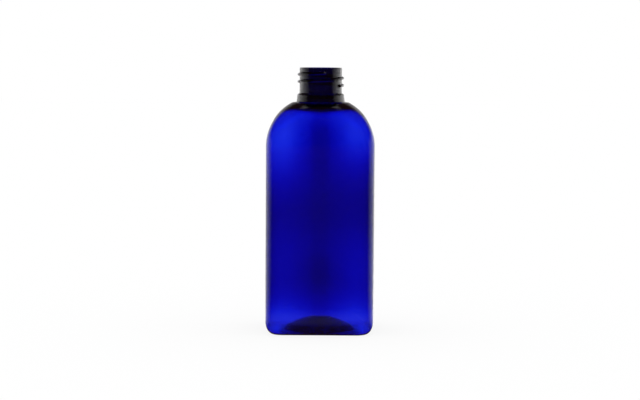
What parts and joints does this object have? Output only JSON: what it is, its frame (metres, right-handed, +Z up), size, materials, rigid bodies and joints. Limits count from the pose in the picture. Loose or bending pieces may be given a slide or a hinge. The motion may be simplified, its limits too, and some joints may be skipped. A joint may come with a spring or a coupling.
{
  "type": "bottle",
  "caption": "Square blow-moulded plastic bottle with rounded shoulders, an open screw neck and a pushed-up base, for holding and pouring liquids.",
  "frame": {"origin": "middle of the surface that the bottle stands on, on the neck's axis", "axes": "+Z up along the neck's axis, the front face towards -Y, +X to the right seen from the front"},
  "size_m": [0.0634, 0.0634, 0.156],
  "materials": {
    "cobalt_plastic": "gloss"
  },
  "bodies": {
    "root": {"bottle": "cobalt_plastic"}
  },
  "joints": []
}
